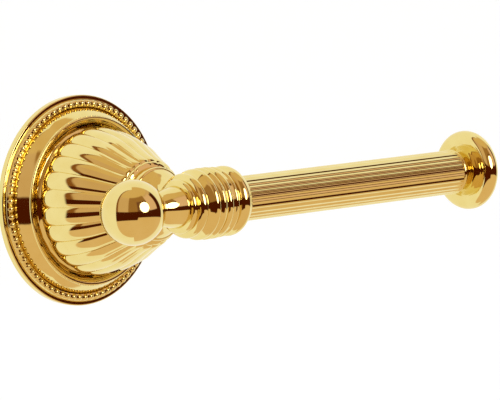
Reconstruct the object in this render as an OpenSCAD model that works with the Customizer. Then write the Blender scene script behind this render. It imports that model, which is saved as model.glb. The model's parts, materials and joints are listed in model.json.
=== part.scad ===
// Toilet paper holder, classic style: a beaded wall rosette, a lobed bell-shaped post,
// and a fixed arm across its tip with a ball finial, a ringed collar, a reeded bar and an end disc.
// Origin: centre of the mounting face, on the wall plane. +Y points into the wall, +Z up.
// The post stands out along -Y and the arm runs along +X.

/* [Rosette] */
// Outside diameter of the rosette
rosette_d = 75; // [70:1:90]
// Height of the plain edge that meets the wall
rim_h = 1.6; // [1:0.1:2]
// Height of the raised lip above the wall
lip_h = 9; // [8:0.1:10]
// Width of the flat foot from the outer edge to the foot of the raised band
foot_w = 4.5; // [4.2:0.1:5.5]
// Height of the wall between the beads and the raised band, above the edge
band_foot_h = 3; // [2.5:0.1:3.5]
// Width of the sloping band between the beads and the lip
band_w = 3; // [2:0.1:3.5]
// Diameter of one bead
bead_d = 2.7; // [2:0.1:3]
// Number of beads around the rosette
bead_count = 78; // [60:1:80]

/* [Bell] */
// Diameter over the lobes where they are widest
bell_d = 52.6; // [50:0.2:55]
// Diameter over the lobes at the tip
bell_tip_d = 29.6; // [28:0.2:34]
// Length of the bell along the post
bell_len = 30.5; // [28:0.5:40]
// Number of lobes around the bell
lobe_count = 24; // [16:1:30]
// Width of the groove between two lobes
lobe_gap = 0.7; // [0.4:0.1:1]
// Depth of the groove between two lobes
lobe_depth = 1; // [0.5:0.1:1.5]
// Wall thickness of the bell inside its grooves
bell_wall = 2.2; // [1.8:0.1:3]

/* [Post head] */
// Diameter of the smooth disc at the bell's tip
head_d = 26; // [22:0.2:28]
// Thickness of that disc
head_t = 3.2; // [2.5:0.1:5]
// Diameter of the short neck that carries the arm
tee_neck_d = 15; // [14:0.2:18]
// Height of the flare between that neck and the disc
flare_h = 6.7; // [5:0.1:8]

/* [Arm] */
// Distance of the arm's centre line from the wall
arm_out = 58; // [57:0.5:75]
// Outside diameter of the reeded bar
bar_d = 16; // [14:0.5:20]
// Free length of the reeded bar
bar_len = 108.5; // [90:0.5:130]
// Wall thickness of the bar's tube under the reeds
bar_wall = 1.5; // [1:0.1:2]
// Number of reeds around the bar
reed_count = 28; // [20:1:40]
// Height of one reed
reed_h = 0.3; // [0.2:0.05:0.5]
// Diameter of the steel rod inside the arm
rod_d = 6; // [5:0.5:6]

/* [Collar] */
// Largest diameter of the ringed collar
collar_d = 25.2; // [22:0.2:28]
// Where the collar begins, measured from the post's centre line
collar_start = 6.8; // [6:0.1:8]
// Length of the collar
collar_len = 29.2; // [26:0.2:34]

/* [Finial] */
// Diameter of the ball
ball_d = 23.4; // [20:0.2:26]
// Length of the waisted neck between the ball and the collar
neck_len = 9.4; // [8:0.2:14]
// Smallest diameter of the waisted neck
waist_d = 10; // [9.5:0.5:13]
// Diameter of the neck where it meets the collar
neck_end_d = 15; // [14:0.2:17]

/* [End disc] */
// Diameter of the disc at the bar's free end
disc_d = 28.8; // [25:0.2:34]
// Thickness of the disc, over its round edge
disc_t = 6.4; // [4:0.2:7]
// Depth of the dish on the disc's inner face
dish_h = 1.3; // [0.5:0.1:2]
// Height of the domed cap on the disc
dome_h = 1.6; // [1.5:0.1:4]
// Length of the ferrule between the bar and the disc
ferrule_len = 7.5; // [6:0.5:10]
// Smallest diameter of the ferrule
ferrule_waist_d = 13.8; // [12.6:0.2:14.4]

/* [Wall bracket] */
// Diameter of the hidden wall plate
plate_d = 50; // [46:1:56]
// Thickness of the wall plate
plate_t = 3; // [2:0.5:3]
// Distance between the centres of the two wall screws
screw_pitch = 36; // [34:1:38]
// Diameter of the wall screw holes
screw_hole_d = 5; // [4:0.5:6]
// Outside diameter of the bracket's hub
hub_d = 22; // [20:0.5:22]
// Length of the hub in front of the plate
hub_len = 19; // [17:0.5:20]
// Wall thickness of the hub
hub_wall = 2; // [1.5:0.5:2.5]

/* [Fixings] */
// Wall thickness of the socket that slides over the hub
socket_wall = 5; // [4:0.5:5.5]
// Diameter of the socket's set screw
set_screw_d = 5; // [4:0.5:5]
// Length of the set screw
set_screw_len = 7; // [6:0.5:7]
// Diameter of the threaded stud through the post
stud_d = 8; // [6:0.5:8]
// Width of the nut across its flats
nut_flats = 13; // [11:0.5:13]
// Diameter of the locating pin
pin_d = 2; // [1.5:0.5:2]

/* [Hidden] */
$fn = 96;

run_fit = 0.05;        // radial clearance of parts that slide or pass through
rest_gap = 0.3;        // gap between the set screw's tip and the hub
eps = 0.01;

// rosette
rosette_r = rosette_d / 2;
band_r = rosette_r - foot_w;             // foot of the raised band
lip_r = band_r - band_w;                 // crest of the lip
rim_round = 0.4;                         // bevel of the rosette's edge
rim_top = rim_h + 0.8;
band_foot = rim_h + band_foot_h;
cove_drop = 3;                           // depth of the cove below the lip
bead_seat = rim_h + 0.3;                 // floor of the beads' channel
bead_base = 1.1;                         // height of the strip under the beads
channel_w = 3.1;
bead_r = band_r + channel_w / 2;         // centre line of the beads
bead_notch = 0.6;                        // half the width of a notch at the crest
cove_floor = lip_h - cove_drop;
seat_h = lip_h + 0.1;                    // where the bell stands
seat_t = 2.2;
shell_t = 2;                             // wall thickness of the rosette under the cove
plate_clear = 2.2;                       // space in front of the wall plate
foot_in_r = band_r - 1.6;

// band, lip and cove, inwards: [distance inside the lip's edge, drop below its crest]
lip_line = [[-0.35, 0.75], [0, 0.2], [0.5, 0], [1.2, 0.15], [2.1, 0.7], [3, 2.1], [4, cove_drop]];

// bell
bell_r = bell_d / 2;
tip_r = bell_tip_d / 2;
tip_at = seat_h + bell_len;              // front face of the bell
bell_mouth = 2.4;                        // how far the bell draws in at its seat
bell_seat_r = bell_r - bell_mouth;
tip_web = 6;                             // solid end of the bell
tip_round = 1.2;                         // bevel of the lobes' ends
function bell_at(t) = seat_h + bell_len * t;

// crest of the lobes: [radius, distance from the wall], from the seat to the tip
crest = [
    [bell_seat_r, seat_h],
    [bell_r - 0.5, bell_at(0.015)],
    [bell_r, bell_at(0.07)],
    [tip_r + (bell_r - tip_r) * 0.98, bell_at(0.16)],
    [tip_r + (bell_r - tip_r) * 0.91, bell_at(0.26)],
    [tip_r + (bell_r - tip_r) * 0.845, bell_at(0.34)],
    [tip_r + (bell_r - tip_r) * 0.78, bell_at(0.42)],
    [tip_r + (bell_r - tip_r) * 0.69, bell_at(0.505)],
    [tip_r + (bell_r - tip_r) * 0.575, bell_at(0.59)],
    [tip_r + (bell_r - tip_r) * 0.44, bell_at(0.685)],
    [tip_r + (bell_r - tip_r) * 0.31, bell_at(0.785)],
    [tip_r + (bell_r - tip_r) * 0.18, bell_at(0.88)],
    [tip_r, tip_at - tip_round],
    [tip_r - tip_round, tip_at]
];
hollow_depth = lobe_depth + bell_wall;
web_back = tip_at - tip_web;             // back face of the bell's solid end

// socket and fixings along the post
hub_r = hub_d / 2;
hub_bore_r = hub_r - hub_wall;
hub_end = plate_t + hub_len;
socket_in_r = hub_r + run_fit;
socket_r = socket_in_r + socket_wall;
socket_back = plate_t + plate_clear;
flange_w = 3;                            // width of the socket's flange
flange_r = socket_r + flange_w;
web_at = hub_end + 2;                    // back face of the socket's web
web_t = 3;
socket_end = web_at + web_t;
stud_hole_r = stud_d / 2 + run_fit;
washer_t = 1.6;
washer_r = stud_d;
lock_t = 2;
lock_slit = 1.2;
lock_r = washer_r - lock_slit / 2;
hex_depth = 2.5;                         // depth of the set screw's socket
nut_t = 6.5;
nut_at = web_at - washer_t - lock_t - nut_t;
stud_tail = 1.5;
stud_back = nut_at - stud_tail;
set_at = (socket_back + socket_end) / 2 + 1;  // distance of the set screw from the wall
access_d = set_screw_d + 0.8;

// head, tee and arm
head_r = head_d / 2;
head_at = tip_at;
head_front = head_at + head_t;
head_round = 0.9;                        // rounding of the head's edge
neck_r = tee_neck_d / 2;
flare_r = head_r - head_round;
rod_r = rod_d / 2;
rod_hole_r = rod_r + run_fit;
stud_front = arm_out - rod_r - 1.5;
pin_off = (stud_d / 2 + neck_r) / 2 + 0.1;
pin_r = pin_d / 2;
pin_len = head_t + 6;
pin_at = head_at - 3;
bar_r = bar_d / 2;
reed_r = 0.48 * PI * bar_d / reed_count;  // radius of one reed
tube_in_r = bar_r - reed_h - bar_wall;
collar_r = collar_d / 2;
bar_at = collar_len - collar_start;
bar_end = bar_at + bar_len;
collar_lip = 0.5;                        // step from the collar down to the reeds
ferrule_bead = 0.9;                      // half the width of the ferrule's bead
ferrule_proud = 0.2;                     // how far that bead stands above the reeds
ferrule_step = 0.4;
ferrule_cone = 0.8;                      // length of the step behind the bead
ferrule_waist_r = ferrule_waist_d / 2;
ferrule_foot_r = ferrule_waist_r + ferrule_step;
disc_at = bar_end + ferrule_len;         // bottom of the dish
disc_front = disc_at - dish_h;
disc_r = disc_d / 2;
disc_edge = disc_t / 2;                  // radius of the round edge
cap_at = disc_front + disc_t;
cap_r = disc_r - disc_edge;
bush_in = 5;                             // depth of the bush in the collar
bush_len = 15;
spigot_r = tube_in_r - run_fit;
ball_r = ball_d / 2;
waist_r = waist_d / 2;
neck_end_r = neck_end_d / 2;
neck_start = -collar_start - neck_len;
ball_sink = ball_r - sqrt(ball_r * ball_r - waist_r * waist_r);
ball_at = neck_start + ball_sink - ball_r;
ball_hole = 8;

// flare of the tee's neck: [share of its height, share of its spread]
flare = [[0, 1], [0.21, 0.74], [0.42, 0.43], [0.66, 0.18], [1, 0]];

// sweep of the finial's neck: [share of its length, share of its rise from the waist]
sweep = [[0.06, 0.02], [0.17, 0.2], [0.33, 0.44], [0.45, 0.58], [0.55, 0.68], [0.68, 0.78],
    [0.82, 0.88], [1, 1]];

// rings of the collar: [share of the collar's length, drop below its largest radius, width]
rings = [
    [0.045, 3, 2.6],
    [0.154, 1.2, 3.8],
    [0.329, 0.15, 3.4],
    [0.428, 0, 1.6],
    [0.538, 0, 2.8],
    [0.644, 0.2, 1.8],
    [0.815, 0.2, 5.2]
];

// body of the collar under its rings: [share of its length, depth below its largest radius]
collar_core = [[0, 4.3], [0.09, 3.7], [0.154, 3], [0.212, 2.2], [0.277, 1.05], [0.65, 1.05],
    [0.74, 1.6], [0.89, 1.6], [0.925, 2], [0.966, 3.2]];

// turned about the post's axis: radius across, distance from the wall upwards
module turned() {
    rotate([90, 0, 0]) rotate_extrude() children();
}

// a straight pin or hole along the post's axis
module post_pin(radius, from, to) {
    rotate([90, 0, 0]) translate([0, 0, from]) cylinder(r = radius, h = to - from);
}

// turned about the arm's axis: radius across, place along the arm upwards
module arm_turned() {
    translate([0, -arm_out, 0]) rotate([0, 90, 0]) rotate_extrude() children();
}

// a straight pin or hole along the arm's axis
module arm_pin(radius, from, to) {
    translate([from, -arm_out, 0]) rotate([0, 90, 0]) cylinder(r = radius, h = to - from);
}

module wall_bracket() {
    color("silver") difference() {
        union() {
            post_pin(plate_d / 2, 0, plate_t);
            post_pin(hub_r, 0, hub_end);
        }
        post_pin(hub_bore_r, plate_t, hub_end + eps);
        for (side = [-1, 1])
            translate([0, 0, side * screw_pitch / 2]) post_pin(screw_hole_d / 2, -eps, plate_t + eps);
    }
}

module set_screw_hole(diameter, from, to) {
    translate([0, -set_at, -to]) cylinder(d = diameter, h = to - from);
}

module post_socket() {
    color("darkgoldenrod") difference() {
        union() {
            post_pin(flange_r, socket_back, seat_h - seat_t);
            post_pin(socket_r, socket_back, socket_end);
        }
        post_pin(socket_in_r, socket_back - eps, web_at);
        post_pin(stud_hole_r, web_at - eps, socket_end + eps);
        set_screw_hole(set_screw_d + 2 * run_fit, 0, socket_r + 1);
    }
}

module set_screw() {
    color("gray") difference() {
        set_screw_hole(set_screw_d, hub_r + rest_gap, hub_r + rest_gap + set_screw_len);
        translate([0, -set_at, -(hub_r + rest_gap + set_screw_len) - eps])
            cylinder(d = set_screw_d / 2, h = hex_depth, $fn = 6);
    }
}

module rosette() {
    color("gold") turned() polygon([
        [foot_in_r, 0],
        [rosette_r, 0],
        [rosette_r, rim_top - rim_round],
        [rosette_r - rim_round, rim_top],
        [band_r + channel_w, rim_top],
        [band_r + channel_w, bead_seat],
        [band_r, bead_seat],
        [band_r, band_foot],
        [band_r - band_w * 0.4, band_foot + (lip_h - band_foot) * 0.38],
        for (p = lip_line) [lip_r - p[0], lip_h - p[1]],
        [bell_seat_r + 0.9, cove_floor + 0.25],
        [bell_seat_r, cove_floor + 1.2],
        [bell_seat_r, seat_h],
        [socket_r + run_fit, seat_h],
        [socket_r + run_fit, seat_h - seat_t],
        [bell_seat_r - shell_t, seat_h - seat_t],
        [bell_seat_r - shell_t * 0.8, cove_floor - shell_t],
        [lip_r - shell_t * 1.4, cove_floor - shell_t]
    ]);
}

// a beaded strip: a round bead moulding, notched between each two beads
module bead_ring() {
    color("gold") rotate([90, 0, 0]) difference() {
        rotate_extrude() {
            translate([bead_r - channel_w / 2 + run_fit, bead_seat])
                square([channel_w - 2 * run_fit, bead_base]);
            intersection() {
                translate([bead_r, bead_seat + bead_base]) circle(d = bead_d);
                translate([bead_r - bead_d, bead_seat]) square(2 * bead_d);
            }
        }
        for (i = [0 : bead_count - 1])
            rotate(i * 360 / bead_count) translate([bead_r, 0, bead_seat + bead_base + bead_d / 2])
                rotate([90, 0, 90]) linear_extrude(bead_d + 1, center = true)
                    polygon([[-bead_notch, 0.1], [bead_notch, 0.1], [0, -bead_d / 2]]);
    }
}

// one cut between two lobes, as deep as the grooves and following the crest
module lobe_cut() {
    rotate([90, 0, 0]) translate([0, 0, -lobe_gap / 2]) linear_extrude(lobe_gap) polygon(concat(
        [for (p = crest) [p[0] - lobe_depth, p[1]]],
        [[bell_r + 2, tip_at], [bell_r + 2, seat_h]]
    ));
}

module bell() {
    color("gold") difference() {
        turned() difference() {
            polygon(concat([[stud_hole_r, seat_h]], crest, [[stud_hole_r, tip_at]]));
            polygon(concat(
                [[0, seat_h - 1], [bell_seat_r - bell_wall, seat_h - 1]],
                [for (p = crest) if (p[1] < web_back) [p[0] - hollow_depth, p[1]]],
                [[tip_r, web_back], [0, web_back]]
            ));
        }
        rotate([90, 0, 0]) for (i = [0 : lobe_count - 1])
            rotate((i + 0.5) * 360 / lobe_count) lobe_cut();
        set_screw_hole(access_d, socket_r, bell_r + 1);
        translate([0, 0, pin_off]) post_pin(pin_r + run_fit, pin_at, tip_at + eps);
    }
}

module post_head() {
    color("gold") difference() {
        turned() polygon([
            [stud_hole_r, head_at],
            [head_r, head_at],
            [head_r, head_front - head_round],
            [head_r - head_round * 0.3, head_front - head_round * 0.3],
            [flare_r, head_front],
            [stud_hole_r, head_front]
        ]);
        translate([0, 0, pin_off]) post_pin(pin_r + run_fit, head_at - eps, head_front + eps);
    }
}

module post_stud() {
    color("gray") post_pin(stud_d / 2, stud_back, stud_front);
}

module stud_washer() {
    color("gray") difference() {
        post_pin(washer_r, web_at - washer_t, web_at);
        post_pin(stud_hole_r, web_at - washer_t - eps, web_at + eps);
    }
}

module lock_washer() {
    color("gray") difference() {
        post_pin(lock_r, nut_at + nut_t, nut_at + nut_t + lock_t);
        post_pin(stud_hole_r, nut_at + nut_t - eps, nut_at + nut_t + lock_t + eps);
        translate([0, -nut_at - nut_t - lock_t - eps, -lock_slit / 2])
            cube([washer_r, lock_t + 2 * eps, lock_slit]);
    }
}

module stud_nut() {
    color("gray") difference() {
        rotate([90, 0, 0]) translate([0, 0, nut_at])
            cylinder(d = nut_flats / cos(30), h = nut_t, $fn = 6);
        post_pin(stud_hole_r, nut_at - eps, nut_at + nut_t + eps);
    }
}

module locating_pin() {
    color("gray") translate([0, 0, pin_off]) post_pin(pin_r, pin_at, pin_at + pin_len);
}

module collar_profile() {
    polygon(concat(
        [[0, -collar_start]],
        [for (p = collar_core) [collar_r - p[1], -collar_start + collar_len * p[0]]],
        [[bar_r + collar_lip, bar_at], [0, bar_at]]
    ));
    for (ring = rings)
        translate([collar_r - ring[1] - ring[2] / 2, -collar_start + collar_len * ring[0]])
            circle(d = ring[2]);
}

// the tee's neck, flared where it stands on the head
module tee_neck() {
    turned() polygon(concat(
        [[0, head_front]],
        [for (p = flare) [neck_r + (flare_r - neck_r) * p[1], head_front + flare_h * p[0]]],
        [[neck_r, arm_out], [0, arm_out]]
    ));
}

module arm_collar() {
    color("gold") difference() {
        union() {
            arm_turned() intersection() {
                collar_profile();
                translate([0, -collar_start]) square([collar_r + 1, collar_len]);
            }
            difference() {
                tee_neck();
                arm_pin(neck_end_r + rest_gap, -head_r - 1, -collar_start);
            }
        }
        arm_pin(rod_hole_r, -collar_start - eps, bar_at + eps);
        arm_pin(spigot_r + run_fit, bar_at - bush_in, bar_at + eps);
        post_pin(stud_hole_r, head_front - eps, stud_front + 0.5);
        translate([0, 0, pin_off]) post_pin(pin_r + run_fit, head_front - eps, pin_at + pin_len + 0.3);
    }
}

module finial_neck() {
    color("gold") arm_turned() difference() {
        polygon(concat(
            [[rod_hole_r, neck_start - ball_sink], [waist_r, neck_start - ball_sink]],
            [for (p = sweep) [waist_r + (neck_end_r - waist_r) * p[1], neck_start + neck_len * p[0]]],
            [[rod_hole_r, -collar_start]]
        ));
        translate([0, ball_at]) circle(r = ball_r);
    }
}

module ball_finial() {
    color("gold") arm_turned() difference() {
        intersection() {
            translate([0, ball_at]) circle(r = ball_r);
            translate([0, ball_at - ball_r]) square([ball_r, 2 * ball_r]);
        }
        translate([0, ball_at + ball_r - ball_hole]) square([rod_hole_r, ball_hole + 1]);
    }
}

module arm_rod() {
    color("gray") arm_pin(rod_r, ball_at + ball_r - ball_hole + 0.5, cap_at + dome_h * 0.5);
}

module reeded_bar() {
    color("gold") translate([bar_at, -arm_out, 0]) rotate([0, 90, 0]) linear_extrude(bar_len)
        difference() {
            union() {
                circle(r = bar_r - reed_h);
                for (i = [0 : reed_count - 1])
                    rotate(i * 360 / reed_count) translate([bar_r - reed_r, 0])
                        circle(r = reed_r, $fn = 32);
            }
            circle(r = tube_in_r);
        }
}

module bush(from, to) {
    difference() {
        arm_pin(spigot_r, from, to);
        arm_pin(rod_hole_r, from - eps, to + eps);
    }
}

module inner_bush() {
    color("silver") bush(bar_at - bush_in, bar_at - bush_in + bush_len);
}

module outer_bush() {
    color("silver") bush(bar_end - bush_len + bush_in, bar_end);
}

module bar_ferrule() {
    color("gold") arm_turned() {
        polygon([
            [rod_hole_r, bar_end],
            [bar_r - ferrule_step, bar_end],
            [bar_r - ferrule_step, bar_end + 2 * ferrule_bead],
            [ferrule_waist_r, bar_end + 2 * ferrule_bead + ferrule_cone],
            [ferrule_waist_r, disc_at - 2 * ferrule_cone],
            [ferrule_foot_r, disc_at],
            [rod_hole_r, disc_at]
        ]);
        translate([bar_r + ferrule_proud - ferrule_bead, bar_end + ferrule_bead]) circle(r = ferrule_bead);
    }
}

module end_disc() {
    color("gold") arm_turned() {
        polygon([
            [rod_hole_r, disc_at],
            [ferrule_foot_r, disc_at],
            [disc_r - disc_edge, disc_front],
            [disc_r - disc_edge, cap_at],
            [rod_hole_r, cap_at]
        ]);
        translate([disc_r - disc_edge, disc_front + disc_edge]) circle(r = disc_edge);
    }
}

module end_cap() {
    dome_r = (cap_r * cap_r + dome_h * dome_h) / (2 * dome_h);
    color("gold") arm_turned() difference() {
        intersection() {
            translate([0, cap_at + dome_h - dome_r]) circle(r = dome_r, $fn = 4 * $fn);
            translate([0, cap_at]) square([cap_r, dome_h + 1]);
        }
        translate([0, cap_at - 1]) square([rod_hole_r, dome_h * 0.5 + 1.3]);
    }
}

wall_bracket();
post_socket();
set_screw();
rosette();
bead_ring();
bell();
post_head();
post_stud();
stud_washer();
lock_washer();
stud_nut();
locating_pin();
arm_collar();
finial_neck();
ball_finial();
arm_rod();
reeded_bar();
inner_bush();
outer_bush();
bar_ferrule();
end_disc();
end_cap();
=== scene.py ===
# %% [markdown]
# # A classic toilet paper holder
# The holder is polished, gold-plated brass: a beaded rosette on the wall, a lobed bell that
# stands out from it, and an arm across the bell's tip with a ball, a ringed collar, a reeded
# bar and an end disc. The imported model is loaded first. It is the frame: every piece made
# here takes its place from it, in metres, with +Z up and the wall on the +Y side.

# %% Load the frame
import json
import math

import bmesh
import bpy
from mathutils import Matrix, Vector


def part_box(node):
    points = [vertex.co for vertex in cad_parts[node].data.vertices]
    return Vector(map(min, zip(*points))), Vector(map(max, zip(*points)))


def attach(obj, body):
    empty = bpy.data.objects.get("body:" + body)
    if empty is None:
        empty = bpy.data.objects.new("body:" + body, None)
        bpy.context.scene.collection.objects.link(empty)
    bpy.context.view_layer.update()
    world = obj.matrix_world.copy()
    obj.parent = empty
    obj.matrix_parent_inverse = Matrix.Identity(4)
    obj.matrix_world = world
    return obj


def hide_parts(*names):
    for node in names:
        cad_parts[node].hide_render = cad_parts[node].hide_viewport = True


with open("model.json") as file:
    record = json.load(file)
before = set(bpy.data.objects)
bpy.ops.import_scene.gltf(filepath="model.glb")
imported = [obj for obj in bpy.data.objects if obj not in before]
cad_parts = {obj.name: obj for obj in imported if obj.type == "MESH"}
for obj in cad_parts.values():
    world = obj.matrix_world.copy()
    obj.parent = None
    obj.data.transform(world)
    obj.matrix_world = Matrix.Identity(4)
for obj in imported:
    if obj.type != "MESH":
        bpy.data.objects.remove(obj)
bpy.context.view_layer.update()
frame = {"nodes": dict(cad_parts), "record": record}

MM = 0.001
nodes = frame["nodes"]

# %% [markdown]
# ## Reading sizes from the frame
# A turned piece has an axis, a radius and two ends. The boxes of the CAD nodes give all of
# them, so nothing has to be fitted afterwards. Distances from the wall are counted along -Y,
# and distances along the arm are counted along +X.

# %% Sizes from the frame
def out_span(node):
    """Nearest and furthest distance of a node from the wall."""
    low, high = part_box(node)
    return -high.y, -low.y


def arm_span(node):
    """Where a node begins and ends along the arm."""
    low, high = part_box(node)
    return low.x, high.x


def node_radius(node):
    """Half the height of a turned node."""
    low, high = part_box(node)
    return (high.z - low.z) / 2


ball_low, ball_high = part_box("ball_finial")
arm_out = -(ball_low.y + ball_high.y) / 2
print("arm axis stands", round(arm_out / MM, 2), "mm from the wall")

# %% [markdown]
# ## Materials
# Each finish is a Principled shader with a few nodes in front of it. Writing nodes in code
# is mostly naming sockets, so one small function adds a node, sets it and links it. Colours
# are written as sRGB hex, as a paint chart gives them, and turned to linear values.

# %% Helpers for materials
def linear(hex_colour):
    """An sRGB hex colour as the linear values that shaders use."""
    values = [int(hex_colour[i:i + 2], 16) / 255 for i in (1, 3, 5)]
    return [v / 12.92 if v <= 0.04045 else ((v + 0.055) / 1.055) ** 2.4 for v in values] + [1.0]


def add_node(tree, kind, settings=None, **sockets):
    """Adds a node, sets its properties, and sets or links its inputs by name or number."""
    node = tree.nodes.new(kind)
    for key, value in (settings or {}).items():
        setattr(node, key, value)
    for key, value in sockets.items():
        socket = node.inputs[int(key[1:]) if key[1:].isdigit() else key.replace("_", " ")]
        if isinstance(value, bpy.types.NodeSocket):
            tree.links.new(value, socket)
        else:
            socket.default_value = value
    return node


def new_material(name):
    """An empty material with a Principled shader."""
    material = bpy.data.materials.new(name)
    material.use_nodes = True
    tree = material.node_tree
    return material, tree, tree.nodes["Principled BSDF"]


# %% [markdown]
# ## Gold plate
# The visible metal is brass, polished on a wheel and then plated with gold. Plating gives a
# mirror: the colour is only in the reflections, so it is the base colour of a full metal. A
# wheel leaves hairlines and a slight waviness, so the roughness is low but not even, and a
# very weak bump bends the reflections a little.

# %% Gold-plated brass
def gold_plate():
    """Mirror-polished brass with gold plating: polishing waviness and hairline scratches."""
    material, tree, shader = new_material("gold_plated_brass")
    place = add_node(tree, "ShaderNodeTexCoord").outputs["Object"]
    # waves left by the polishing wheel are about 6 mm long
    waves = add_node(tree, "ShaderNodeTexNoise", Vector=place, Scale=1 / (6 * MM), Detail=2.0)
    # hairlines are about 0.05 mm apart; drawn at 0.4 mm, because finer ones would not show
    hairs = add_node(tree, "ShaderNodeTexNoise", Vector=place, Scale=1 / (0.4 * MM), Detail=3.0)
    tone = add_node(tree, "ShaderNodeValToRGB", _0=waves.outputs["Fac"])
    tone.color_ramp.elements[0].position = 0.3
    tone.color_ramp.elements[0].color = linear("#E8D284")
    tone.color_ramp.elements[1].position = 0.7
    tone.color_ramp.elements[1].color = linear("#ECD98F")
    tree.links.new(tone.outputs["Color"], shader.inputs["Base Color"])
    shader.inputs["Metallic"].default_value = 1.0
    rough = add_node(tree, "ShaderNodeMapRange", Value=hairs.outputs["Fac"])
    rough.inputs["To Min"].default_value = 0.035
    rough.inputs["To Max"].default_value = 0.075
    tree.links.new(rough.outputs["Result"], shader.inputs["Roughness"])
    bump = add_node(tree, "ShaderNodeBump", Strength=0.05, Distance=0.02 * MM,
                    Height=waves.outputs["Fac"])
    tree.links.new(bump.outputs["Normal"], shader.inputs["Normal"])
    return material


GOLD = gold_plate()
print("made", GOLD.name)


# %% [markdown]
# ## Hidden metals and nylon
# The fixings inside are zinc-plated steel, raw turned brass and a blackened set screw. They
# share one recipe: a metal with a cloudy tone, which also makes the roughness uneven. The
# bushes are moulded nylon, which is not a metal and has a soft sheen.

# %% Hidden metals and nylon
def fixing_metal(name, dark, light, roughness, grain_mm):
    """Plated or turned metal of the hidden fixings, with a cloudy tone."""
    material, tree, shader = new_material(name)
    place = add_node(tree, "ShaderNodeTexCoord").outputs["Object"]
    cloud = add_node(tree, "ShaderNodeTexNoise", Vector=place, Scale=1 / (grain_mm * MM),
                     Detail=4.0)
    tone = add_node(tree, "ShaderNodeMix", {"data_type": "RGBA"}, _0=cloud.outputs["Fac"],
                    _6=linear(dark), _7=linear(light))
    tree.links.new(tone.outputs[2], shader.inputs["Base Color"])
    shader.inputs["Metallic"].default_value = 1.0
    spread = add_node(tree, "ShaderNodeMapRange", Value=cloud.outputs["Fac"])
    spread.inputs["To Min"].default_value = roughness * 0.8
    spread.inputs["To Max"].default_value = roughness * 1.2
    tree.links.new(spread.outputs["Result"], shader.inputs["Roughness"])
    return material


def nylon():
    """Moulded natural nylon: slightly yellow white, with a soft sheen."""
    material, tree, shader = new_material("moulded_nylon")
    place = add_node(tree, "ShaderNodeTexCoord").outputs["Object"]
    cloud = add_node(tree, "ShaderNodeTexNoise", Vector=place, Scale=1 / (2 * MM), Detail=2.0)
    tone = add_node(tree, "ShaderNodeMix", {"data_type": "RGBA"}, _0=cloud.outputs["Fac"],
                    _6=linear("#DEDACB"), _7=linear("#EAE6D8"))
    tree.links.new(tone.outputs[2], shader.inputs["Base Color"])
    shader.inputs["Roughness"].default_value = 0.45
    return material


FINISHES = {
    "gold_plate": GOLD,
    "raw_brass": fixing_metal("turned_brass", "#A88648", "#C6A462", 0.3, 3),
    "zinc_steel": fixing_metal("zinc_plated_steel", "#A9ACB1", "#C3C6CA", 0.28, 2),
    "dark_steel": fixing_metal("blackened_steel", "#3A3A3E", "#4C4C50", 0.4, 1),
    "nylon": nylon(),
}
slot_of = {part["node"]: part["material_slot"] for part in frame["record"]["subparts"]}
for name, node in nodes.items():
    node.data.materials.clear()
    node.data.materials.append(FINISHES[slot_of[name]])
print("finishes:", sorted(FINISHES))

# %% [markdown]
# ## Turned pieces
# Most of the holder is turned on a lathe. A lathe piece is one outline swept round an axis,
# which is what the spin operator does. The outline is drawn flat, as radius and place along
# the axis, with straight stretches as points and round stretches as arcs.

# %% Outlines and the lathe
ROUND_STEPS = 160


def arc(radius_at, along, size, start, end, steps=8):
    """Points on a round stretch, centred at (radius_at, along), from one angle to another."""
    points = []
    for i in range(steps + 1):
        angle = math.radians(start + (end - start) * i / steps)
        points.append((radius_at + size * math.cos(angle), along + size * math.sin(angle)))
    return points


def smooth_line(points, steps=6):
    """A smooth curve through a few points (Catmull-Rom)."""
    ends = [points[0], *points, points[-1]]
    out = []
    for i in range(1, len(ends) - 2):
        p0, p1, p2, p3 = (Vector(p) for p in ends[i - 1:i + 3])
        for k in range(steps):
            t = k / steps
            bend = (2 * p0 - 5 * p1 + 4 * p2 - p3) * t ** 2
            turn = (3 * p1 - p0 - 3 * p2 + p3) * t ** 3
            out.append(tuple(0.5 * (2 * p1 + (p2 - p0) * t + bend + turn)))
    out.append(points[-1])
    return out


def lathe(outline, closed=True, steps=ROUND_STEPS):
    """Spins an outline about the Z axis into a bmesh; the outline's second value becomes Z."""
    shape = bmesh.new()
    verts = [shape.verts.new((r, 0, z)) for r, z in outline]
    edges = [shape.edges.new(pair) for pair in zip(verts, verts[1:])]
    if closed:
        edges.append(shape.edges.new((verts[-1], verts[0])))
    bmesh.ops.spin(shape, geom=verts + edges, cent=(0, 0, 0), axis=(0, 0, 1), dvec=(0, 0, 0),
                   angle=math.tau, steps=steps, use_merge=True, use_duplicate=False)
    bmesh.ops.remove_doubles(shape, verts=shape.verts, dist=1e-6)
    bmesh.ops.recalc_face_normals(shape, faces=shape.faces)
    return shape


# the lathe's Z axis turned to stand out from the wall, or to lie along the arm
ALONG_POST = Matrix.Rotation(math.radians(90), 4, "X")
ALONG_ARM = Matrix.Translation((0, -arm_out, 0)) @ Matrix.Rotation(math.radians(90), 4, "Y")


def finish_piece(shape, name, place, node, body="holder", sharp=30):
    """Puts a bmesh in its place and makes it a piece that stands for a CAD node."""
    bmesh.ops.transform(shape, matrix=place, verts=shape.verts)
    mesh = bpy.data.meshes.new(name)
    shape.to_mesh(mesh)
    shape.free()
    mesh.shade_smooth()
    mesh.set_sharp_from_angle(angle=math.radians(sharp))
    piece = bpy.data.objects.new(name, mesh)
    bpy.context.scene.collection.objects.link(piece)
    mesh.materials.append(FINISHES[slot_of[node]])
    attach(piece, body)
    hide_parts(node)
    print("made", name, "with", len(mesh.polygons), "faces")
    return piece


# %% [markdown]
# ## Rosette
# The rosette is the round plate on the wall. From its edge inwards it has a plain rim, a
# channel for the beads, a band that slopes up to a thin lip, and a cove that falls away behind
# the bell. It is one turned piece, hollow at the back.

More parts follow.
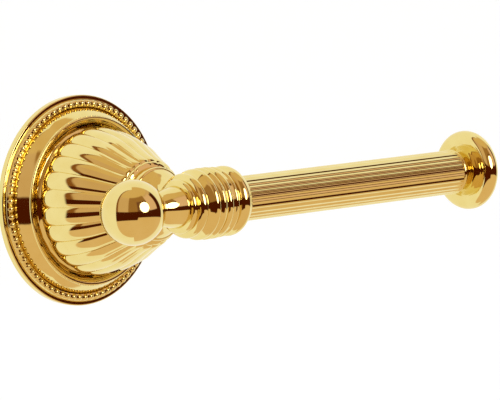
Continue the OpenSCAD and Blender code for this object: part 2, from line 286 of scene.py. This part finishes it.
# %% Rosette
rosette_r = node_radius("rosette")
seat_h = out_span("rosette")[1]
bead_low = out_span("bead_ring")[0]
bell_start, bell_end = out_span("bell")
bell_r = node_radius("bell")
rim_h = 1.6 * MM
rim_round = 0.4 * MM
rim_top = rim_h + 0.8 * MM
channel_w = 3.1 * MM
band_r = rosette_r - 4.5 * MM
bead_r = band_r + channel_w / 2
lip_r = band_r - 3 * MM
lip_h = seat_h - 0.1 * MM
cove_floor = lip_h - 3 * MM
shell = 2 * MM
seat_t = 2.2 * MM
bell_seat_r = bell_r - 2.4 * MM
socket_hole = 16.1 * MM

# foot, rim and bead channel, from the wall outwards
outline = [(band_r - 1.6 * MM, 0), (rosette_r - 0.15 * MM, 0), (rosette_r, 0.15 * MM)]
outline += arc(rosette_r - rim_round, rim_h + rim_round, rim_round, 0, 90)
outline += [(band_r + channel_w + 0.05 * MM, rim_top)]
outline += [(band_r + channel_w, rim_top - 0.05 * MM), (band_r + channel_w, bead_low)]
outline += [(band_r, bead_low), (band_r, rim_h + 1.0 * MM)]
# band, which rises steeply and leans in to the lip
outline += smooth_line([
    (band_r, rim_h + 1.2 * MM),
    (band_r - 0.2 * MM, rim_h + 2.1 * MM),
    (band_r - 0.9 * MM, rim_h + 3.8 * MM),
    (band_r - 1.8 * MM, rim_h + 5.2 * MM),
    (lip_r + 0.2 * MM, lip_h - 0.85 * MM),
])
outline += arc(lip_r - 0.4 * MM, lip_h - 0.5 * MM, 0.5 * MM, -5, 75)
# lip and cove, down to the foot of the bell
outline += smooth_line([
    (lip_r - 0.5 * MM, lip_h - 0.01 * MM),
    (lip_r - 1.2 * MM, lip_h - 0.15 * MM),
    (lip_r - 2.1 * MM, lip_h - 0.7 * MM),
    (lip_r - 3.0 * MM, lip_h - 2.1 * MM),
    (lip_r - 4.0 * MM, cove_floor + 0.05 * MM),
    (bell_seat_r + 0.9 * MM, cove_floor + 0.25 * MM),
    (bell_seat_r, cove_floor + 1.2 * MM),
])
# seat and the hollow back
outline += [(bell_seat_r, seat_h), (socket_hole, seat_h), (socket_hole, seat_h - seat_t)]
outline += [(bell_seat_r - shell, seat_h - seat_t)]
outline += [(bell_seat_r - 0.8 * shell, cove_floor - shell)]
outline += [(lip_r - 1.4 * shell, cove_floor - shell)]
finish_piece(lathe(outline), "rosette_turned", ALONG_POST, "rosette")

# %% [markdown]
# ## Bead ring
# The beads are rolled into a strip of wire, which is laid in the rosette's channel. A small
# sphere is copied round the channel with a loop, over a strip whose top is crowned. The
# spheres have few faces, because there are many of them.

# %% Bead ring
BEADS = 78
bead_size = 2.7 * MM
strip_h = 1.1 * MM
strip_half = channel_w / 2
crown = [(1.55, -0.2), (1.1, 0.5), (0.0, 0.8), (-1.1, 0.5), (-1.55, -0.2)]
shape = lathe([(bead_r - strip_half, bead_low), (bead_r + strip_half, bead_low)]
              + [(bead_r + across * MM, bead_low + strip_h + rise * MM) for across, rise in crown])
for i in range(BEADS):
    turn = Matrix.Rotation(math.tau * i / BEADS, 4, "Z")
    bmesh.ops.create_uvsphere(
        shape, u_segments=14, v_segments=9, radius=bead_size / 2,
        matrix=turn @ Matrix.Translation((bead_r, 0, bead_low + strip_h)))
finish_piece(shape, "bead_wire", ALONG_POST, "bead_ring", sharp=40)

# %% [markdown]
# ## Bell
# The bell is cast with rounded lobes that run from its mouth to its tip, as on a gadrooned
# cup. It starts as a plain turned bell. Each point of its skin is then pulled towards the
# axis, by nothing on the crest of a lobe and by the groove's depth between two lobes.

# %% Bell
LOBES = 24
tip_r = 14.8 * MM
bell_len = bell_end - bell_start


def bell_at(share):
    """Distance from the wall at a share of the bell's length."""
    return bell_start + bell_len * share


def crest_mix(share):
    """Radius between the tip's, at 0, and the widest one, at 1."""
    return tip_r + (bell_r - tip_r) * share


crest = smooth_line([
    (bell_seat_r, bell_at(0)),
    (bell_r - 0.5 * MM, bell_at(0.015)),
    (bell_r, bell_at(0.07)),
    (crest_mix(0.975), bell_at(0.16)),
    (crest_mix(0.895), bell_at(0.29)),
    (crest_mix(0.79), bell_at(0.42)),
    (crest_mix(0.645), bell_at(0.555)),
    (crest_mix(0.452), bell_at(0.685)),
    (crest_mix(0.257), bell_at(0.816)),
    (crest_mix(0.1), bell_at(0.93)),
    (tip_r, bell_end - 1.2 * MM),
    (tip_r - 0.3 * MM, bell_end - 0.45 * MM),
    (tip_r - 1.2 * MM, bell_end),
])
STUD_HOLE = 4.1 * MM     # radius of the hole for the stud, all along the post
wall = 3.2 * MM          # thickness of the bell's side
web = 6 * MM             # thickness of its tip
inside = [(STUD_HOLE, bell_end), (STUD_HOLE, bell_end - web), (14.6 * MM, bell_end - web),
          (crest_mix(0.452) - wall, bell_at(0.685)), (crest_mix(0.79) - wall, bell_at(0.42)),
          (bell_r - wall - 0.4 * MM, bell_at(0.16)), (bell_seat_r - 2.2 * MM, bell_start)]


def crest_radius(along):
    """Radius of the crest at a distance from the wall."""
    for (r0, z0), (r1, z1) in zip(crest, crest[1:]):
        if along <= z1:
            return r0 + (r1 - r0) * (along - z0) / (z1 - z0)
    return crest[-1][0]


print("the bell has", len(crest), "points along its crest")

# %% [markdown]
# The outline is spun with twelve steps to a lobe, and then every point of the outer skin is
# pulled in. Across a lobe the pull follows a circle, so the lobe is round and the groove is
# sharp. Towards the tip the grooves run out.

# %% Lobes
shape = lathe(inside + crest, steps=LOBES * 12)
groove = 1.25 * MM
roundness = 0.96         # at 1 the grooves would be knife-sharp
tip_depth = 0.3          # share of the groove's depth that is left at the tip
run_out = 7              # how fast the grooves reach their full depth
for vert in shape.verts:
    radius = math.hypot(vert.co.x, vert.co.y)
    if radius < crest_radius(vert.co.z) - 0.5 * MM:
        continue
    share = (vert.co.z - bell_start) / bell_len
    swing = (math.atan2(vert.co.y, vert.co.x) * LOBES / math.tau) % 1 * 2 - 1
    round_lobe = 1 - math.sqrt(max(0.0, 1 - (roundness * swing) ** 2))
    fade = min(1.0, radius / bell_r + 0.05) * min(1.0, tip_depth + max(0.0, 1 - share) * run_out)
    scale = (radius - groove * fade * round_lobe) / radius
    vert.co.x *= scale
    vert.co.y *= scale
BELL_SHARP = 50          # degrees between two faces, past which their edge is sharp
bell = finish_piece(shape, "bell_lobed", ALONG_POST, "bell", sharp=BELL_SHARP)

# %% [markdown]
# The set screw is reached through a hole in the underside of the bell. A Boolean modifier
# drills it with a plain cylinder, and the result is kept as the bell's mesh.

# %% Hole for the key
screw_low, screw_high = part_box("set_screw")
key_hole_r = (screw_high.x - screw_low.x) / 2 + 0.4 * MM
drill_len = 14 * MM
drill_shape = bmesh.new()
bmesh.ops.create_cone(drill_shape, cap_ends=True, segments=48, depth=drill_len,
                      radius1=key_hole_r, radius2=key_hole_r)
bmesh.ops.translate(drill_shape, verts=drill_shape.verts,
                    vec=(0, (screw_low.y + screw_high.y) / 2, -bell_r))
drill_data = bpy.data.meshes.new("drill")
drill_shape.to_mesh(drill_data)
drill_shape.free()
drill = bpy.data.objects.new("drill", drill_data)
bpy.context.scene.collection.objects.link(drill)
cut = bell.modifiers.new("key_hole", "BOOLEAN")
cut.operation = "DIFFERENCE"
cut.solver = "EXACT"
cut.object = drill
finished = bell.evaluated_get(bpy.context.evaluated_depsgraph_get())
drilled = bpy.data.meshes.new_from_object(finished)
bell.modifiers.clear()
bell.data = drilled
drilled.name = "bell_lobed"
bpy.data.objects.remove(drill)
drilled.set_sharp_from_angle(angle=math.radians(BELL_SHARP))
print("drilled the bell:", len(drilled.polygons), "faces")

# %% [markdown]
# ## Post head
# A smooth disc closes the tip of the bell. Its edge is rounded over.

# %% Post head
head_low, head_high = out_span("post_head")
head_r = node_radius("post_head")
head_round = 0.9 * MM
outline = [(STUD_HOLE, head_low), (head_r - 0.2 * MM, head_low), (head_r, head_low + 0.2 * MM)]
outline += arc(head_r - head_round, head_high - head_round, head_round, 0, 88)
outline += [(head_r - head_round - 0.1 * MM, head_high), (STUD_HOLE, head_high)]
finish_piece(lathe(outline), "head_disc", ALONG_POST, "post_head")

# %% [markdown]
# ## Collar
# The collar is the tee that joins the arm to the post. It is barrel-shaped and turned with
# round rings of different widths. Each ring is an arc of its own size, and the lathe joins
# one arc to the next, which leaves the fine grooves between them.

# %% Collar
collar_start = arm_span("finial_neck")[1]
collar_end = arm_span("reeded_bar")[0]
collar_r = node_radius("arm_collar")
bar_r = node_radius("reeded_bar")
ROD_HOLE = 3.1 * MM      # radius of the hole for the rod, all along the arm
RING_SPAN = 62           # degrees of its circle that a ring shows, to each side
# each ring: its place along the arm, its drop below the largest radius, its size, all in mm
rings = [(-5.5, 3.0, 1.3), (-2.3, 1.2, 1.9), (2.8, 0.15, 1.7), (5.7, 0.0, 0.8), (8.9, 0.0, 1.4),
         (12.0, 0.2, 0.9), (17.0, 0.2, 2.6)]
outline = [(ROD_HOLE, collar_start), (8.1 * MM, collar_start)]
for middle, drop, size in rings:
    outline += arc(collar_r - (drop + size) * MM, middle * MM, size * MM, -RING_SPAN, RING_SPAN, 10)
# the end that draws in to the bar
outline += smooth_line([
    (10.6 * MM, 20.2 * MM),
    (10.1 * MM, 20.9 * MM),
    (9.4 * MM, 21.5 * MM),
    (bar_r + 0.5 * MM, collar_end),
])
outline += [(ROD_HOLE, collar_end)]
shape = lathe(outline)
bmesh.ops.transform(shape, matrix=ALONG_ARM, verts=shape.verts)
print("turned", len(rings), "rings")

# %% [markdown]
# ## Neck of the collar
# A short neck reaches back from the collar and flares out on the post's head. It is spun
# about the post's axis, and then joined to the collar's mesh, because the two are one
# casting. Where the finial stands against the collar, the neck is pressed flat.

# %% Neck of the collar
flare_r = head_r - head_round
neck_r = 7.5 * MM
flare_h = 6.7 * MM
# share of the height, and share of the spread that is left there
flare = [(0, 1), (0.21, 0.74), (0.42, 0.43), (0.66, 0.18), (1, 0)]
outline = [(STUD_HOLE, head_high)]
outline += smooth_line([(neck_r + (flare_r - neck_r) * spread, head_high + flare_h * rise)
                        for rise, spread in flare])
neck_top = arm_out - 4 * MM              # inside the collar, so its end is not seen
outline += [(neck_r, neck_top), (STUD_HOLE, neck_top)]
neck = lathe(outline, steps=96)
finial_reach = 8.6 * MM                  # a little wider than the finial's neck
for vert in neck.verts:
    if vert.co.x < collar_start and math.hypot(vert.co.y, arm_out - vert.co.z) < finial_reach:
        vert.co.x = collar_start
bmesh.ops.transform(neck, matrix=ALONG_POST, verts=neck.verts)
part = bpy.data.meshes.new("tee_neck")
neck.to_mesh(part)
neck.free()
shape.from_mesh(part)
finish_piece(shape, "ringed_collar", Matrix.Identity(4), "arm_collar")

# %% [markdown]
# ## Finial
# The near end of the arm is closed by a ball on a waisted neck. The neck flares out to the
# collar's first ring.

# %% Finial neck
neck_low, neck_high = arm_span("finial_neck")
sink = 0.4 * MM                          # how far the neck reaches into the ball
outline = [(ROD_HOLE, neck_low - sink)]
outline += smooth_line([
    (5.0 * MM, neck_low - sink),
    (5.05 * MM, neck_low + 0.6 * MM),
    (5.5 * MM, neck_low + 1.6 * MM),
    (6.1 * MM, neck_low + 3.1 * MM),
    (6.45 * MM, neck_low + 4.2 * MM),
    (6.7 * MM, neck_low + 5.2 * MM),
    (6.95 * MM, neck_low + 6.4 * MM),
    (7.2 * MM, neck_low + 7.7 * MM),
    (7.5 * MM, neck_high),
], 8)
outline += [(ROD_HOLE, neck_high)]
finish_piece(lathe(outline), "waisted_neck", ALONG_ARM, "finial_neck")

# %% [markdown]
# The ball is a half circle on the lathe, and it is drilled for the rod from the neck's side.
# The outline starts at the bottom of that hole, runs round the ball and ends at its mouth.

# %% Ball
ball_r = (ball_high.x - ball_low.x) / 2
ball_x = ball_low.x + ball_r
hole_end = ball_x + ball_r - 8 * MM
outline = [(ROD_HOLE, hole_end), (0, hole_end), (0, ball_x - ball_r)]
outline += arc(0, ball_x, ball_r, -90, 74, 64)[1:]
outline += [(ROD_HOLE, ball_x + ball_r * 0.962)]
finish_piece(lathe(outline), "ball_end", ALONG_ARM, "ball_finial")

# %% [markdown]
# ## Reeded bar
# The bar is a drawn tube with fine rounded reeds along its whole length. Its outline is a
# circle whose points are pushed in between the reeds, and the outline is then extruded.

# %% Reeded bar
REEDS = 28
POINTS_PER_REED = 12
bar_low, bar_high = arm_span("reeded_bar")
reed_h = 0.25 * MM
shape = bmesh.new()
ring = bmesh.ops.create_circle(shape, segments=REEDS * POINTS_PER_REED, radius=bar_r,
                               matrix=Matrix.Translation((0, 0, bar_low)))["verts"]
for vert in ring:
    swing = (math.atan2(vert.co.y, vert.co.x) * REEDS / math.tau) % 1 * 2 - 1
    scale = 1 - reed_h / bar_r * (0.5 - 0.5 * math.cos(math.pi * swing))
    vert.co.x *= scale
    vert.co.y *= scale
moved = bmesh.ops.extrude_edge_only(shape, edges=shape.edges[:])["geom"]
bmesh.ops.translate(shape, vec=(0, 0, bar_high - bar_low),
                    verts=[g for g in moved if isinstance(g, bmesh.types.BMVert)])
bmesh.ops.holes_fill(shape, edges=[e for e in shape.edges if e.is_boundary], sides=0)
bmesh.ops.recalc_face_normals(shape, faces=shape.faces)
finish_piece(shape, "reeded_tube", ALONG_ARM, "reeded_bar", sharp=60)

# %% [markdown]
# ## Ferrule
# A short ferrule with a bead covers the open end of the tube and carries the disc.

# %% Ferrule
ferrule_low = bar_high
ferrule_high = arm_span("bar_ferrule")[1]
bead_half = 0.9 * MM
outline = [(ROD_HOLE, ferrule_low)]
outline += arc(bar_r - 0.7 * MM, ferrule_low + bead_half, bead_half, -80, 80, 10)
outline += smooth_line([
    (7.2 * MM, ferrule_low + 2.3 * MM),
    (6.9 * MM, ferrule_low + 3.4 * MM),
    (6.9 * MM, ferrule_high - 1.2 * MM),
    (7.3 * MM, ferrule_high),
])
outline += [(ROD_HOLE, ferrule_high)]
finish_piece(lathe(outline), "bar_end_ferrule", ALONG_ARM, "bar_ferrule")

# %% [markdown]
# ## End disc
# The disc stops the roll. Its edge is fully round, like the edge of a button, and its face
# towards the bar is slightly dished.

# %% End disc
edge = 3.2 * MM
disc_r = node_radius("end_disc")
disc_low, disc_high = arm_span("end_disc")
outline = [(ROD_HOLE, ferrule_high)]
outline += smooth_line([
    (7.3 * MM, ferrule_high),
    (8.4 * MM, ferrule_high - 0.45 * MM),
    (9.7 * MM, ferrule_high - 1.1 * MM),
    (disc_r - edge, disc_low),
])
outline += arc(disc_r - edge, disc_low + edge, edge, -84, 84, 24)
outline += [(disc_r - edge - 0.2 * MM, disc_high), (ROD_HOLE, disc_high)]
finish_piece(lathe(outline), "roll_stop_disc", ALONG_ARM, "end_disc")

# %% [markdown]
# ## Cap
# A shallow dome covers the end of the rod. A dome is a piece of a sphere, and its radius
# follows from its width and its height.

# %% Cap
cap_low, cap_high = arm_span("end_cap")
cap_r = disc_r - edge
dome_h = cap_high - cap_low
dome_r = (cap_r ** 2 + dome_h ** 2) / (2 * dome_h)
rise = math.degrees(math.asin((dome_r - dome_h) / dome_r))
outline = [(0, cap_low), (cap_r - 0.01 * MM, cap_low)]
outline += arc(0, cap_high - dome_r, dome_r, rise, 90, 24)
finish_piece(lathe(outline, closed=False), "domed_cap", ALONG_ARM, "end_cap")

# %% [markdown]
# ## Camera
# The camera stands at the front left, a little above the arm, with a long lens, and leans a
# few degrees.

# %% Camera
def aim(azimuth, elevation, lean):
    """Right, up and back directions of a camera; azimuth 0 looks along +Y."""
    a, e, r = (math.radians(v) for v in (azimuth, elevation, lean))
    back = Vector((math.sin(a) * math.cos(e), -math.cos(a) * math.cos(e), math.sin(e)))
    right = Vector((math.cos(a), math.sin(a), 0))
    up = back.cross(right)
    return right * math.cos(r) - up * math.sin(r), right * math.sin(r) + up * math.cos(r), back


AZIMUTH, ELEVATION, LEAN = -44.0, 5.0, 2.5
DISTANCE = 1.9
LENS = 384.5
SIDE_STEP = 61.5 * MM
right, up, back = aim(AZIMUTH, ELEVATION, LEAN)
camera_data = bpy.data.cameras.new("camera")
camera_data.lens = LENS
camera_data.sensor_width = 36
camera_data.clip_end = 100
camera = bpy.data.objects.new("camera", camera_data)
bpy.context.scene.collection.objects.link(camera)
spot = back * DISTANCE + right * SIDE_STEP
camera.matrix_world = Matrix((
    (right.x, up.x, back.x, spot.x),
    (right.y, up.y, back.y, spot.y),
    (right.z, up.z, back.z, spot.z),
    (0, 0, 0, 1),
))
bpy.context.scene.camera = camera
print("camera", round(spot.length, 2), "m from the wall mount, lens", LENS, "mm")

# %% [markdown]
# ## Light
# Polished metal has no colour of its own to show: it shows what stands round it. So the
# world is painted as a studio, by the angle that a ray leaves at. A warm room fills the
# viewer's side of it, and the rest is white. Only mirror rays see that picture. Rays that
# light a matt surface get an even white, and the camera sees a plain white background.

# %% Angles in the studio
world = bpy.data.worlds.new("studio")
bpy.context.scene.world = world
world.use_nodes = True
sky = world.node_tree
sky.nodes.clear()
look = add_node(sky, "ShaderNodeTexCoord").outputs["Generated"]
flat_back = Vector((back.x, back.y, 0)).normalized()
flat_right = Vector((-flat_back.y, flat_back.x, 0))
ROOM_TURN, ROOM_DIP = math.radians(7), math.radians(5)
room_axis = flat_back * math.cos(ROOM_TURN) + flat_right * math.sin(ROOM_TURN)
room_axis = room_axis * math.cos(ROOM_DIP) - Vector((0, 0, math.sin(ROOM_DIP)))
ahead, aside, above, roomward = (
    add_node(sky, "ShaderNodeVectorMath", {"operation": "DOT_PRODUCT"},
             _0=look, _1=tuple(direction)).outputs["Value"]
    for direction in (flat_back, flat_right, Vector((0, 0, 1)), room_axis))


def angle(operation, a, b=0.0):
    """The angle in degrees that has this sine or cosine, or these two sides of a tangent."""
    radians = add_node(sky, "ShaderNodeMath", {"operation": operation}, _0=a, _1=b).outputs[0]
    return add_node(sky, "ShaderNodeMath", {"operation": "MULTIPLY"},
                    _0=radians, _1=180 / math.pi).outputs[0]


side = angle("ARCTAN2", aside, ahead)        # 0 towards the viewer, more to the right
height = angle("ARCSINE", above)             # above the horizon
spread = angle("ARCCOSINE", roomward)        # away from the middle of the room
squared = add_node(sky, "ShaderNodeMath", {"operation": "MULTIPLY"}, _0=height, _1=height)
bow = add_node(sky, "ShaderNodeMath", {"operation": "MULTIPLY"}, _0=squared.outputs[0], _1=0.0055)
# the side again, bowed like the room's left edge
left_edge = add_node(sky, "ShaderNodeMath", {"operation": "ADD"},
                     _0=side, _1=bow.outputs[0]).outputs[0]
print("the studio has", len(sky.nodes), "nodes for its angles")


# %% [markdown]
# A patch of colour is laid where every one of its bands is open. A band rises from 0 to 1 at
# its low end and falls back at its high end, over a few degrees, so that the edges in the
# reflections are soft.

# %% Patches of colour
def patch(under, colour, *bands):
    """Lays a colour over what is under it, inside all bands of (value, low, high, softness)."""
    mask = 1.0
    for value, low, high, soft in bands:
        rise = add_node(sky, "ShaderNodeMapRange", {"interpolation_type": "SMOOTHSTEP"},
                        Value=value, From_Min=low - soft, From_Max=low + soft)
        fall = add_node(sky, "ShaderNodeMapRange", {"interpolation_type": "SMOOTHSTEP"},
                        Value=value, From_Min=high - soft, From_Max=high + soft,
                        To_Min=1.0, To_Max=0.0)
        band = add_node(sky, "ShaderNodeMath", {"operation": "MULTIPLY"},
                        _0=rise.outputs["Result"], _1=fall.outputs["Result"])
        mask = add_node(sky, "ShaderNodeMath", {"operation": "MULTIPLY"},
                        _0=band.outputs[0], _1=mask).outputs[0]
    return add_node(sky, "ShaderNodeMix", {"data_type": "RGBA"}, _0=mask, _6=under,
                    _7=colour).outputs[2]


BASEMENT = -30           # every wall patch begins well below the horizon
room = patch(linear("#E0C297"), linear("#D8B89C"), (height, BASEMENT, 55, 3))
# each wall patch: colour, from and to which side, up to which height, in degrees
walls = [
    ("#A57C50", -14, 61, 57),
    ("#7A5240", 19, 61, 40),
    ("#E7C4BC", 61, 97, 50),
    ("#4B1A00", 97, 200, 45),
]
for colour, left, far, top in walls:
    room = patch(room, linear(colour), (side, left, far, 2), (height, BASEMENT, top, 3))
room = patch(room, linear("#8C5A2C"), (left_edge, -70, -51, 2))
print("painted", len(walls), "wall patches")

# %% [markdown]
# A dark table edge runs across the room at the level of the horizon, and the pale table top
# begins below it, closer to the horizon on the right. Last, the room is set into the white
# studio.

# %% Table and the finished world
TABLE_LEFT, TABLE_RIGHT = -21.6, -13.0       # where the table top begins, in degrees of height
room = patch(room, linear("#4B1A00"), (height, -90, 7, 1.5))
table = add_node(sky, "ShaderNodeMapRange", {"interpolation_type": "SMOOTHSTEP"},
                 Value=side, From_Min=17, From_Max=21, To_Min=TABLE_LEFT, To_Max=TABLE_RIGHT)
below = add_node(sky, "ShaderNodeMath", {"operation": "SUBTRACT"},
                 _0=height, _1=table.outputs["Result"]).outputs[0]
room = patch(room, linear("#E7C9AA"), (below, -200, 0, 1))
studio = patch(linear("#FFFFFF"), room, (spread, -50, 109, 2.5), (left_edge, -59, 400, 1.5))

ray = add_node(sky, "ShaderNodeLightPath")
mirrored = add_node(sky, "ShaderNodeMath", {"operation": "MAXIMUM"},
                    _0=ray.outputs["Is Glossy Ray"], _1=ray.outputs["Is Transmission Ray"])
even_light = add_node(sky, "ShaderNodeBackground", Strength=0.9, Color=linear("#FFFFFF"))
reflected = add_node(sky, "ShaderNodeBackground", Strength=1.03, Color=studio)
backdrop = add_node(sky, "ShaderNodeBackground", Strength=1.0, Color=linear("#FFFFFF"))
lit = add_node(sky, "ShaderNodeMixShader", _0=mirrored.outputs[0],
               _1=even_light.outputs[0], _2=reflected.outputs[0])
seen = add_node(sky, "ShaderNodeMixShader", _0=ray.outputs["Is Camera Ray"],
                _1=lit.outputs[0], _2=backdrop.outputs[0])
add_node(sky, "ShaderNodeOutputWorld", Surface=seen.outputs[0])
print("the studio has", len(sky.nodes), "nodes")

# %% [markdown]
# ## Lamp
# One round lamp stands at the front right, a little above the arm. Its reflection is the
# round white spot on the ball.

# %% Lamp
lamp_data = bpy.data.lights.new("round_lamp", "AREA")
lamp_data.shape = "DISK"
lamp_data.size = 0.56
lamp_data.energy = 4.2
lamp = bpy.data.objects.new("round_lamp", lamp_data)
bpy.context.scene.collection.objects.link(lamp)
# a direction of length 1, so the lamp is one metre away
toward_lamp = (right * 0.644 + up * 0.276 + back * 0.693).normalized()
lamp.matrix_world = (Matrix.Translation(toward_lamp)
                     @ toward_lamp.to_track_quat("Z", "Y").to_matrix().to_4x4())
print("lamp at", [round(v, 2) for v in toward_lamp])

# %% [markdown]
# ## Floor
# The floor is a wide pale disc under the holder. It glows a little, for camera rays only, so
# that the camera sees it as white and no light is added to the holder. Mirror rays pass
# through it, because the studio has its own table.

# %% Floor
FLOOR_RADIUS = 12
FLOOR_DROP = 0.3
CAMERA_GLOW = 0.13       # just enough to bring the floor up to white for the camera
floor_mesh = bmesh.new()
bmesh.ops.create_circle(floor_mesh, cap_ends=True, segments=96, radius=FLOOR_RADIUS)
bmesh.ops.translate(floor_mesh, vec=(0, 0, -FLOOR_DROP), verts=floor_mesh.verts)
floor_data = bpy.data.meshes.new("floor")
floor_mesh.to_mesh(floor_data)
floor_mesh.free()
floor = bpy.data.objects.new("floor", floor_data)
bpy.context.scene.collection.objects.link(floor)

floor_paint, tree, shader = new_material("pale_floor")
speck = add_node(tree, "ShaderNodeTexNoise",
                 Vector=add_node(tree, "ShaderNodeTexCoord").outputs["Object"], Scale=40.0)
tone = add_node(tree, "ShaderNodeMix", {"data_type": "RGBA"}, _0=speck.outputs["Fac"],
                _6=linear("#FBFBFA"), _7=linear("#FFFFFF"))
tree.links.new(tone.outputs[2], shader.inputs["Base Color"])
shader.inputs["Roughness"].default_value = 0.9
shader.inputs["Emission Color"].default_value = linear("#FFFFFF")
ray = add_node(tree, "ShaderNodeLightPath")
glow = add_node(tree, "ShaderNodeMath", {"operation": "MULTIPLY"},
                _0=ray.outputs["Is Camera Ray"], _1=CAMERA_GLOW)
tree.links.new(glow.outputs[0], shader.inputs["Emission Strength"])
clear = add_node(tree, "ShaderNodeBsdfTransparent")
through = add_node(tree, "ShaderNodeMixShader", _0=ray.outputs["Is Glossy Ray"],
                   _1=shader.outputs[0], _2=clear.outputs[0])
tree.links.new(through.outputs[0], tree.nodes["Material Output"].inputs["Surface"])
floor_data.materials.append(floor_paint)
print("floor", FLOOR_DROP, "m under the arm")

bpy.context.scene.view_settings.view_transform = "Standard"
